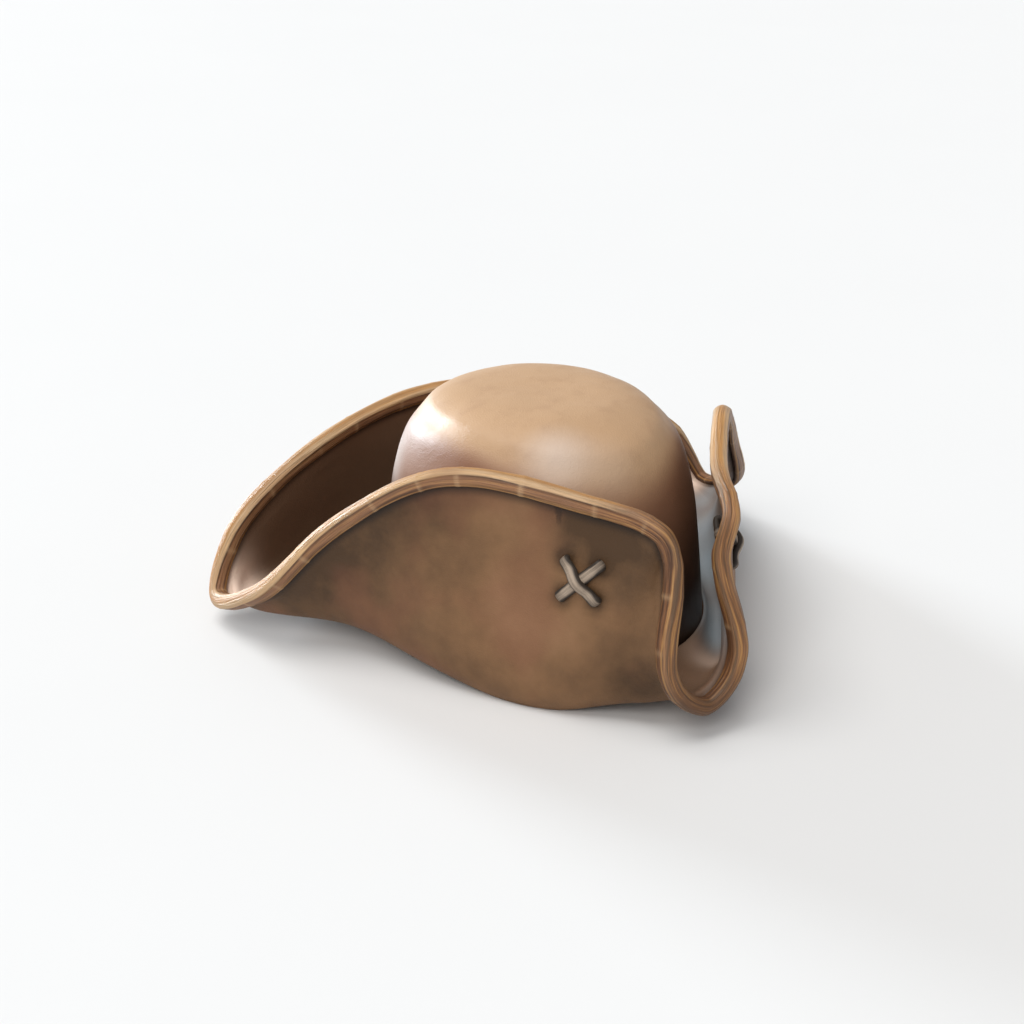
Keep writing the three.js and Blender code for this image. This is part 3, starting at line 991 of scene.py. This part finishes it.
def strap_tree(values: dict[str, Any]) -> Tree:
    """Makes the tree that sweeps a cut face along a strap's path and gives it a hide's uneven surface.

    Args:
        values: The tree's named inputs.

    Returns:
        The tree. Its paths and cut faces are loops or lines of edges with the marks that it reads.
    """
    bench, given = tree_with("swept_strap", values)
    path = bench.node("GeometryNodeMeshToCurve", {}, {0: given["Geometry"]})
    square = named(bench, "square", "FLOAT_VECTOR")
    path = bench.node("GeometryNodeSetCurveNormal", {"mode": "FREE"}, {"Curve": path, "Normal": square})
    face = bench.node("GeometryNodeObjectInfo", {}, {"Object": given["Cut Face"]}, "Geometry")
    face = bench.node("GeometryNodeMeshToCurve", {}, {0: face})
    swept = {"Curve": path, "Profile Curve": face, "Scale": named(bench, "girth"), "Fill Caps": given["Close Ends"]}
    shape = bench.node("GeometryNodeCurveToMesh", {}, swept)
    around = bench.node("ShaderNodeCombineXYZ", {}, {2: named(bench, "around")})
    wind = bench.vector("ADD", named(bench, "lap", "FLOAT_VECTOR"), around)
    stored = {"Geometry": shape, "Name": "wind", "Value": wind}
    shape = bench.node("GeometryNodeStoreNamedAttribute", {"data_type": "FLOAT_VECTOR"}, stored)
    ridge = {0: given["Ridge Length"], 1: given["Ridge Length"], 2: given["Ridge Width"]}
    where = bench.vector("DIVIDE", wind, bench.node("ShaderNodeCombineXYZ", {}, ridge))
    ridges = bench.noise(where, 1.0, 2.0) - 0.5
    height = (ridges * 2 - named(bench, "tick") * 0.4) * given["Unevenness"] * named(bench, "shown")
    return end_tree(bench, swollen(bench, shape, height), given["Material"])


def line_object(name: str, points: Array, marks: dict[str, Array], closed: bool) -> Thing:
    """Makes a line of edges that a geometry tree reads as a path or a cut face.

    Args:
        name: The object's name.
        points: The line's points, in metres.
        marks: Numbers or vectors for each point, by name.
        closed: Whether the last point joins the first.

    Returns:
        The object, in the scene.
    """
    count = len(points)
    links = [(k, (k + 1) % count) for k in range(count if closed else count - 1)]
    mesh = bpy.data.meshes.new(name)
    mesh.from_pydata(points.tolist(), links, [])
    for key, values in marks.items():
        write_mark(mesh, key, values)
    return show(name, mesh)


def lengths(points: Array, closed: bool = False) -> Array:
    """Measures along a line.

    Args:
        points: The line's points.
        closed: Whether the last point joins the first.

    Returns:
        The running length at each point, with the whole length last where it is closed.
    """
    ends = np.concatenate([points, points[:1]]) if closed else points
    steps = np.linalg.norm(np.diff(ends, axis=0), axis=1)
    return np.concatenate([[0.0], np.cumsum(steps)])


@dataclass
class Brim:
    """The one cocked sheet of leather round the crown."""

    sizes: HatSizes
    form: CockedForm
    finish: BrimFinish
    columns_to_one: int = 7
    rows_to_one: int = 5
    fairing: int = 6
    calm_rows: int = 8
    swell: float = 0.495
    floor_fade: float = 20.0
    dimple: float = 1.3
    dimple_reach: float = 5.5
    # Painted contact shade round each thong end, by its reach and strength
    lace_end_shade: tuple[float, float] = (6.0, 0.9)
    stains: tuple[Stain, ...] = patches(
        (-46, -94, 118, 26, 0.6), (-128, 18, 56, 42, 0.55), (-146, 46, 36, 30, 0.4), (-28, -120, 102, 24, 0.5),
        (-26, -128, 24, 19, 0.55), (-106, -10, 98, 30, 0.5), (-90, -32, 114, 20, 0.3), (-40, -104, 106, 20, 0.3),
        (-64, -66, 104, 20, -0.25), (-92, -38, 62, 24, 0.15), (-62, -72, 58, 34, -0.25),
    )
    # Patches of painted bluish reflection on the inside of the flaps, on the wearer's right and mirrored
    painted_reflections: tuple[Stain, ...] = patches(
        (-28, -106, 104, 26, 0.7), (-72, -48, 8, 20, 0.75), (-98, -8, 12, 24, 0.8), (-124, 28, 20, 24, 0.8),
        (-148, 64, 18, 18, 0.6), (-62, -68, 2, 16, 0.7), (-20, -130, 60, 22, 0.6),
    )
    # Patches of painted light in the shaded rear tips and at the front by the crown, on the wearer's right and
    # mirrored
    painted_lights: tuple[Stain, ...] = patches((-147, 98, 20, 15, 1.0), (-156, 92, 19, 12, 0.6), (-42, -88, 3, 14, 0.45))

    def fine_grid(self) -> Array:
        """Refines the form's grid and makes it fair.

        Returns:
            The middle of the leather, stations by rows.
        """
        grid = finer(self.form.grid, self.columns_to_one, True)
        grid = finer(grid.swapaxes(0, 1), self.rows_to_one, False).swapaxes(0, 1)
        for _ in range(self.fairing):
            mean = (np.roll(grid, 1, 0) + np.roll(grid, -1, 0)) / 2
            fair = grid.copy()
            fair[:, 1:-1] = (grid[:, :-2] + grid[:, 2:] + 2 * mean[:, 1:-1]) / 4
            held = self.rows_to_one
            fair[:, :held] = grid[:, :held]
            fair[:, -held - 1:] = grid[:, -held - 1:]
            grid = grid * 0.5 + fair * 0.5
        return grid

    def normals(self, grid: Array) -> Array:
        """Directions square to the grid, held to the station's own where the binding grips.

        Args:
            grid: The middle of the leather.

        Returns:
            A direction for each point.
        """
        beside = np.roll(grid, -1, 0) - np.roll(grid, 1, 0)
        up = np.gradient(grid, axis=1)
        square = unit(np.cross(beside, up))
        held = unit(finer(self.form.normal, self.columns_to_one, True))[:, None]
        share = np.zeros((1, grid.shape[1], 1))
        share[:, -self.rows_to_one - 1:] = 1
        share[:, -2 * self.rows_to_one - 1: -self.rows_to_one - 1, 0] = np.linspace(0.1, 0.9, self.rows_to_one)
        square = unit(square * (1 - share) + held * share)
        square[:, 0] = (0, 0, 1)
        return square

    def build(self) -> Thing:
        """Makes the brim's mesh with its marks.

        Returns:
            The brim.
        """
        grid = self.fine_grid()
        square = self.normals(grid)
        level = np.clip(grid[..., 2:] / self.floor_fade, 0, 1)
        calm = self.calm_rows
        free = np.ones((1, grid.shape[1], 1))
        free[:, :calm] = 0
        free[:, -2 * self.rows_to_one:] = 0
        free[:, calm:2 * calm, 0] = np.linspace(0, 1, calm)
        grid = grid + square * (self.waves(grid) + self.dimples(grid))[..., None] * level * free
        skins = {}
        for skin in Skin:
            points = grid + square * skin.value * self.sizes.leather / 2
            points[..., 2] = np.maximum(points[..., 2], self.sizes.rest_level)
            skins[skin] = (points + self.sizes.shift()).swapaxes(0, 1)
        rows = np.concatenate([skins[Skin.UPPER], skins[Skin.UNDER][::-1]])
        mesh = ring_mesh("brim_leather", rows * MM)
        self.mark(mesh, rows, grid.shape[1])
        made = show("brim_leather", mesh)
        made.data.materials.append(self.finish.material())
        return made

    def waves(self, grid: Array) -> Array:
        """Slow unevenness of the hide, the same on both sides of the hat.

        Args:
            grid: The middle of the leather.

        Returns:
            How far each point lies out.
        """
        x, y, z = np.abs(grid[..., 0]), grid[..., 1], grid[..., 2]
        slow = np.sin(x / 17 + 0.6) * np.cos(y / 23 + z / 29) + 0.6 * np.sin(y / 13 + 1.7) * np.cos(z / 19 - x / 31)
        return slow * self.swell

    def dimples(self, grid: Array) -> Array:
        """How far the thongs pull the flaps in at their ends.

        Args:
            grid: The middle of the leather.

        Returns:
            How far each point is pulled.
        """
        mirrored = grid * np.where(grid[..., :1] > 0, (-1, 1, 1), 1)
        pull = np.zeros(grid.shape[:2])
        for end in self.form.lace_ends():
            away = np.linalg.norm(mirrored - end, axis=-1)
            pull += self.dimple * np.exp(-((away / self.dimple_reach) ** 2))
        return pull

    def mark(self, mesh: bpy.types.Mesh, rows: Array, deep: int) -> None:
        """Stores each point's patches of stain, painted contact shade, painted reflection and painted light, its
        distance from the edge and which skin it is on.

        Args:
            mesh: The brim's mesh.
            rows: Its points, rows round the cut face by stations.
            deep: How many of the rows are the upper skin's.
        """
        to_edge = np.linalg.norm(np.diff(rows[:deep], axis=0), axis=-1)[::-1].cumsum(0)[::-1]
        to_edge = np.concatenate([to_edge, np.zeros_like(to_edge[:1])])
        rim = np.concatenate([to_edge, to_edge[::-1]])
        inner = np.zeros(rows.shape[:2])
        inner[:deep] = 1
        # Painted contact shade round the thong ends is stored with the stains
        lace_end_shades = [Stain(tuple(end + self.sizes.shift()), *self.lace_end_shade) for end in self.form.lace_ends()]
        marks = {
            "stain": self.patched(rows, (*self.stains, *lace_end_shades)), "bloom": self.patched(rows, self.painted_reflections) * inner,
            "glow": self.patched(rows, self.painted_lights) * inner, "rim": rim, "inner": inner,
        }
        for name, values in marks.items():
            write_mark(mesh, name, values.ravel())

    @staticmethod
    def patched(rows: Array, stains: Sequence[Stain]) -> Array:
        """The strength of soft patches at each point, the same on both sides of the hat.

        Args:
            rows: The points.
            stains: The patches, on the wearer's right.

        Returns:
            A strength for each point, -1 to 1.
        """
        points = rows.copy()
        points[..., 0] = -np.abs(points[..., 0])
        total = np.zeros(points.shape[:2])
        for patch in stains:
            away = np.linalg.norm(points - np.array(patch.place), axis=-1)
            total += patch.strength * np.exp(-((away / patch.reach) ** 2))
        return np.clip(total, -1, 1)


@dataclass
class EdgeBinding:
    """The leather strip folded over the whole edge of the brim."""

    sizes: HatSizes
    form: CockedForm
    finish: BindingFinish
    leather: float = 3.0
    depth: float = 6.0
    gap: float = 0.35
    corner: float = 1.0
    points_to_one: int = 14
    arc_points: int = 15
    unevenness: float = 0.6
    ridge_length: float = 34.0
    ridge_width: float = 2.2
    tick_spacing: float = 34.0
    seed: int = 7

    def cut_face(self) -> Thing:
        """Draws the channel that the strip makes over the edge.

        Returns:
            The closed line of edges.
        """
        slot = self.sizes.leather / 2 + self.gap
        half = slot + self.leather
        crest = self.gap + self.leather
        turns = np.linspace(0, math.pi, self.arc_points)
        arc = np.stack([half * np.cos(turns), crest * np.sin(turns)], 1)
        side = np.array([
            (slot, -self.depth), (half - self.corner, -self.depth), (half - 0.25 * self.corner, -0.85 * self.depth),
            (half, -0.6 * self.depth), (half, -0.3 * self.depth),
        ])
        outline = np.concatenate([side, arc, (side * (-1, 1))[::-1], [(-slot, self.gap), (slot, self.gap)]])
        shown = (np.abs(outline[:, 0]) > slot * 1.01).astype(float)
        shown[len(side):len(side) + len(arc)] = 1
        rise = np.clip((outline[:, 1] + self.depth) / (self.depth + crest), 0, 1)
        around = lengths(outline)
        points = np.stack([outline[:, 0], -outline[:, 1], np.zeros(len(outline))], 1)
        marks = {"shown": shown, "rise": rise, "around": around * MM}
        return line_object("binding_cut_face", points * MM, marks, True)

    def path(self) -> Thing:
        """Draws the brim's edge, with the marks that the strap tree reads.

        Returns:
            The closed line.
        """
        edge = finer(self.form.edge, self.points_to_one, True)
        square = unit(finer(self.form.normal, self.points_to_one, True))
        run = lengths(edge, True)
        whole, run = run[-1], run[:-1]
        turn = 2 * math.pi * run / whole
        radius = whole / (2 * math.pi)
        lap = np.stack([np.cos(turn) * radius, np.sin(turn) * radius, np.zeros(len(run))], 1)
        draw = np.random.default_rng(self.seed)
        girth = 0.96 + 0.02 * np.sin(run / 23) + 0.015 * np.sin(run / 9.7 + 2)
        tick = np.zeros(len(run))
        for k in range(int(whole / self.tick_spacing)):
            middle = (k + draw.uniform(0.15, 0.85)) * self.tick_spacing
            tick += draw.uniform(0.5, 1) * np.exp(-(((run - middle) / draw.uniform(0.9, 1.6)) ** 2))
        marks = {"square": square, "lap": lap * MM, "girth": girth, "tick": np.clip(tick, 0, 1)}
        return line_object("binding_path", (edge + self.sizes.shift()) * MM, marks, True)

    def build(self) -> Thing:
        """Sweeps the channel round the edge.

        Returns:
            The binding.
        """
        face = self.cut_face()
        made = baked("binding_leather", self.path(), strap_tree, {
            "Cut Face": face, "Unevenness": self.unevenness * MM, "Ridge Length": self.ridge_length * MM,
            "Ridge Width": self.ridge_width * MM, "Close Ends": False, "Material": self.finish.material(),
        })
        discard(face)
        return made


def crown_tree(values: dict[str, Any]) -> Tree:
    """Makes the tree that lays a grid on the crown's domed rule, both skins in one closed sheet.

    Args:
        values: The tree's named inputs.

    Returns:
        The tree. A grid's columns go round the head and its rows from the inner pole to the outer one.
    """
    bench, given = tree_with("domed_crown", values)
    size = {"Size X": 1.0, "Size Y": 1.0, "Vertices X": given["Columns"], "Vertices Y": given["Rows"]}
    sheet = bench.node("GeometryNodeMeshGrid", {}, size)
    at = bench.node("GeometryNodeInputPosition", {}, {})
    across, along, up = bench.split(at)
    turn = (across + 0.5) * (2 * math.pi)
    gap = 1 / (given["Rows"] - 1)
    reach = ((abs(along * 2) - gap) / (1 - gap)).clamped()
    outer = along.maths("GREATER_THAN", 0.0)
    climb = (1 - (1 - reach) ** 2.0) * (math.pi / 2)
    power = 2 / given["Squareness"]
    rise, spread = (climb.maths(wave).maths("MAXIMUM", 0.0) ** power for wave in ("SINE", "COSINE"))
    scale = (1 - given["Taper"] * rise) * spread
    grow = outer * given["Leather"]
    top = given["Top"] - (1 - outer) * given["Leather"]
    x = (given["Half Width"] + grow) * scale * turn.maths("SINE") * -1
    y = given["Middle"] - (given["Half Length"] + grow) * scale * turn.maths("COSINE")
    z = given["Floor"] + (top - given["Floor"]) * rise + given["Pitch"] * rise * scale * turn.maths("COSINE")
    domed = bench.node("ShaderNodeCombineXYZ", {}, {0: x, 1: y, 2: z})
    shape = bench.node("GeometryNodeSetPosition", {}, {"Geometry": sheet, "Position": domed})
    shape = bench.node("GeometryNodeMergeByDistance", {}, {"Geometry": shape, "Distance": given["Weld"]})
    # From here on the position is the one on the dome
    soft = bench.noise(at, 22.0, 2.0, 0.4) - 0.5
    level = (up - given["Floor"]) / (given["Top"] - given["Floor"])
    wide, long = across / given["Cap Half Width"], (along - given["Middle"]) / given["Cap Half Length"]
    ring = (wide * wide + long * long).maths("SQRT")
    ridge = (1 - abs(ring - given["Ridge Place"]).above(0.0, given["Ridge Spread"])) * given["Ridge"]
    lift = (soft * given["Unevenness"] + ridge) * level.above(0.3, 0.6)
    return end_tree(bench, swollen(bench, shape, lift), given["Material"])


@dataclass
class Crown:
    """The domed crown, open below for the head."""

    sizes: HatSizes
    finish: CrownFinish
    columns: int = 241
    rows: int = 180
    unevenness: float = 2.2
    ridge: float = 0.9
    ridge_place: float = 0.98
    ridge_spread: float = 0.11
    weld: float = 0.02

    def build(self) -> Thing:
        """Makes the crown by its rule.

        Returns:
            The crown.
        """
        sizes = self.sizes
        drop = sizes.shift()[2]
        cap_half_width, cap_half_length, middle = sizes.cap()
        return baked("crown_leather", show("crown_leather", bpy.data.meshes.new("crown_base")), crown_tree, {
            "Half Width": sizes.head_width / 2 * MM, "Half Length": sizes.head_length / 2 * MM,
            "Floor": (sizes.crown_floor + drop) * MM, "Top": (sizes.crown_top + drop) * MM, "Middle": middle,
            "Squareness": sizes.crown_squareness, "Taper": sizes.crown_taper, "Pitch": sizes.crown_pitch * MM,
            "Leather": sizes.leather * MM, "Columns": self.columns, "Rows": self.rows,
            "Unevenness": self.unevenness * MM, "Cap Half Width": cap_half_width,
            "Cap Half Length": cap_half_length, "Ridge": self.ridge * MM, "Ridge Place": self.ridge_place,
            "Ridge Spread": self.ridge_spread, "Weld": self.weld * MM, "Material": self.finish.material(),
        })


@dataclass
class CrossedLaces:
    """The crossed thongs through one side flap, each passing through the leather at both ends and turned back behind
    it.
    """

    sizes: HatSizes
    form: CockedForm
    finish: LaceFinish
    flap: BVHTree
    side: Side
    width: float = 6.4
    thickness: float = 4.0
    gap: float = 0.2
    tail: float = 6.5
    turn: float = 1.2
    arch: float = 0.8
    settle: float = 0.62
    unevenness: float = 0.25
    ridge_length: float = 9.0
    ridge_width: float = 1.6
    face_points: int = 20
    sharpness: float = 2.4
    points_to_one: int = 8

    def depth(self, start: Array, outward: Array) -> tuple[float, float]:
        """How far the flap's two faces lie from a point, along the way out of the flap.

        Args:
            start: The point.
            outward: The way out.

        Returns:
            The distances of the outer and the inner face.
        """
        reach = self.width * 2
        found = []
        for way in (1, -1):
            hit = self.flap.ray_cast(Vector((start + outward * reach * way) * MM), Vector(-outward * way))
            found.append(way * (reach - hit[3] / MM))
        return found[0], found[1]

    def route(self, thong: Thong) -> tuple[Array, Array]:
        """The middle of one thong.

        Args:
            thong: The thong.

        Returns:
            The points of its route and the thong's thin direction at each.
        """
        reach = self.sizes.lace_reach(thong)
        mirror = np.array([-self.side.value, 1, 1])
        middle, run, outward = (vector * mirror for vector in self.form.crossing(thong))
        middle = middle + self.sizes.shift()
        stand = self.gap + self.thickness / 2
        lift = self.thickness * self.arch if thong is Thong.OVER else 0.0
        ends = [self.depth(middle + run * reach * end, outward) for end in (-1, 1)]
        tails = [self.depth(middle + run * (reach - self.tail) * end, outward) for end in (-1, 1)]
        low = [min(end[1], tail[1]) - stand for end, tail in zip(ends, tails)]
        turn = self.turn
        shape = [(-reach + self.tail, low[0]), (-reach + turn, low[0]), (-reach, low[0] + turn), (-reach, ends[0][0])]
        for share in np.linspace(-0.96, 0.96, 9):
            face = self.depth(middle + run * share * reach, outward)[0]
            arch = math.cos(min(abs(share) / self.settle, 1) * math.pi / 2) ** 2
            shape.append((share * reach, face + stand * 0.9 + lift * arch))
        shape += [(reach, ends[1][0]), (reach, low[1] + turn), (reach - turn, low[1]), (reach - self.tail, low[1])]
        flat = finer(np.array(shape), self.points_to_one, False)
        slope = unit(np.gradient(flat, axis=0))
        points = middle + flat[:, :1] * run + flat[:, 1:] * outward
        return points, -slope[:, 1:] * run + slope[:, :1] * outward

    def cut_face(self) -> Thing:
        """Draws the thong's rounded cut face, wide across the flap.

        Returns:
            The closed line of edges.
        """
        turns = np.linspace(0, 2 * math.pi, self.face_points, endpoint=False)
        power = 2 / self.sharpness
        x = np.sign(np.cos(turns)) * np.abs(np.cos(turns)) ** power * self.thickness / 2
        y = np.sign(np.sin(turns)) * np.abs(np.sin(turns)) ** power * self.width / 2
        outline = np.stack([x, y, np.zeros(len(x))], 1)
        marks = {"shown": np.ones(len(x)), "rise": np.abs(y) * 2 / self.width, "around": lengths(outline) * MM}
        return line_object("lace_cut_face", outline * MM, marks, True)

    def path(self, thong: Thong) -> Thing:
        """One thong's route as a line, with the marks that the strap tree reads.

        Args:
            thong: The thong.

        Returns:
            The line.
        """
        points, square = self.route(thong)
        run = lengths(points)
        lap = np.stack([run, np.zeros(len(run)), np.zeros(len(run))], 1)
        end = np.clip((np.abs(run / run[-1] - 0.5) * 2 - 0.35) * 4, 0, 1)
        girth = 1 + 0.04 * np.sin(run / 3.1 + len(thong.name))
        marks = {"square": square, "lap": lap * MM, "girth": girth, "tick": end}
        return line_object(f"{thong.name.lower()}_path", points * MM, marks, False)

    def build(self) -> dict[str, Thing]:
        """Makes both thongs of this side.

        Returns:
            The two thongs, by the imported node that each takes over.
        """
        face = self.cut_face()
        paint = self.finish.material()
        made = {}
        for thong in Thong:
            node = f"{self.side.name}_lace_{thong.name}".lower()
            made[node] = baked(f"{node}_thong", self.path(thong), strap_tree, {
                "Cut Face": face, "Unevenness": self.unevenness * MM, "Ridge Length": self.ridge_length * MM,
                "Ridge Width": self.ridge_width * MM, "Close Ends": True, "Material": paint,
            })
        discard(face)
        return made


@dataclass(frozen=True)
class Lamp:
    """A broad, even light, given by the way towards it, its strength and how many degrees wide it is."""

    name: str
    towards: tuple[float, float, float]
    strength: float
    width: float
    shade: Colour = (1.0, 1.0, 1.0)


@dataclass
class Studio:
    """The pale floor, the soft lights and the camera."""

    pixels: int = 1024
    focal_pixels: float = 2000.0
    sensor: float = 36.0
    heading: float = 29.95
    tilt: float = 24.45
    camera_place: tuple[float, float, float] = (-523.0, -858.6, 523.5)
    lamps: tuple[Lamp, ...] = (
        Lamp("key", (-0.9, -0.8, 1.0), 1.2, 30, (1.0, 0.97, 0.93)),
        Lamp("overhead", (-0.3, 0.1, 1.0), 1.8, 40, (1.0, 0.99, 0.97)),
        Lamp("rim", (-0.22, 0.96, 0.17), 3.7, 18, (0.86, 0.94, 1.0)),
    )
    world: Colour = (0.95, 0.97, 1.0)
    world_strength: float = 0.35
    floor_half: float = 6.0

    def build(self) -> None:
        """Sets up the floor, lights, background and camera."""
        self._floor()
        for lamp in self.lamps:
            self._light(lamp)
        world = bpy.data.worlds.new("studio")
        world.use_nodes = True
        backdrop = world.node_tree.nodes["Background"]
        backdrop.inputs["Color"].default_value = (*self.world, 1.0)
        backdrop.inputs["Strength"].default_value = self.world_strength
        bpy.context.scene.world = world
        bpy.context.scene.view_settings.view_transform = "Standard"
        self._camera()

    def _floor(self) -> None:
        """Lays the floor."""
        mesh = bpy.data.meshes.new("floor")
        corners = [(x * self.floor_half, y * self.floor_half, 0) for x, y in ((-1, -1), (1, -1), (1, 1), (-1, 1))]
        mesh.from_pydata(corners, [], [(0, 1, 2, 3)])
        floor = show("floor", mesh)
        mesh.materials.append(FloorFinish("studio_paper").material())

    @staticmethod
    def _light(lamp: Lamp) -> None:
        """Hangs one lamp, turned to the hat.

        Args:
            lamp: The lamp.
        """
        data = bpy.data.lights.new(lamp.name, "SUN")
        data.energy = lamp.strength
        data.angle = math.radians(lamp.width)
        data.color = lamp.shade
        made = bpy.data.objects.new(lamp.name, data)
        bpy.context.scene.collection.objects.link(made)
        made.location = lamp.towards
        made.rotation_euler = Vector(lamp.towards).to_track_quat("Z", "Y").to_euler()

    def _camera(self) -> None:
        """Sets the camera at the photograph's angle."""
        data = bpy.data.cameras.new("camera")
        data.sensor_width = self.sensor
        data.lens = self.focal_pixels / self.pixels * self.sensor
        made = bpy.data.objects.new("camera", data)
        bpy.context.scene.collection.objects.link(made)
        heading, tilt = math.radians(self.heading), math.radians(self.tilt)
        aim = Vector((
            math.sin(heading) * math.cos(tilt), math.cos(heading) * math.cos(tilt), -math.sin(tilt),
        ))
        made.location = Vector(self.camera_place) * MM
        made.rotation_euler = aim.to_track_quat("-Z", "Y").to_euler()
        bpy.context.scene.camera = made


def main() -> None:
    """Builds the hat piece by piece and reports each."""
    logging.basicConfig(level=logging.INFO, format="%(name)s: %(message)s")
    sizes = HatSizes()
    form = CockedForm(sizes)
    Studio().build()
    brim = Brim(sizes, form, BrimFinish("worn_brown_hide", 0.3)).build()
    binding = EdgeBinding(sizes, form, BindingFinish("streaked_tan_hide")).build()
    crown = Crown(sizes, CrownFinish("waxed_tan_hide")).build()
    pieces = {
        "brim": (brim, "brim_leather"),
        "edge_binding": (binding, "binding_leather"),
        "crown": (crown, "crown_leather"),
    }
    flap = BVHTree.FromPolygons([v.co for v in brim.data.vertices], [p.vertices for p in brim.data.polygons])
    for side in Side:
        laces = CrossedLaces(sizes, form, LaceFinish("greyed_thong"), flap, side).build()
        pieces.update({node: (thong, "lace_leather") for node, thong in laces.items()})
    for node, (piece, slot) in pieces.items():
        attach(piece, "root")
        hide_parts(node)
        LOG.info("%s: %d faces for %s", piece.name, len(piece.data.polygons), node)


if __name__ == "__main__":
    main()
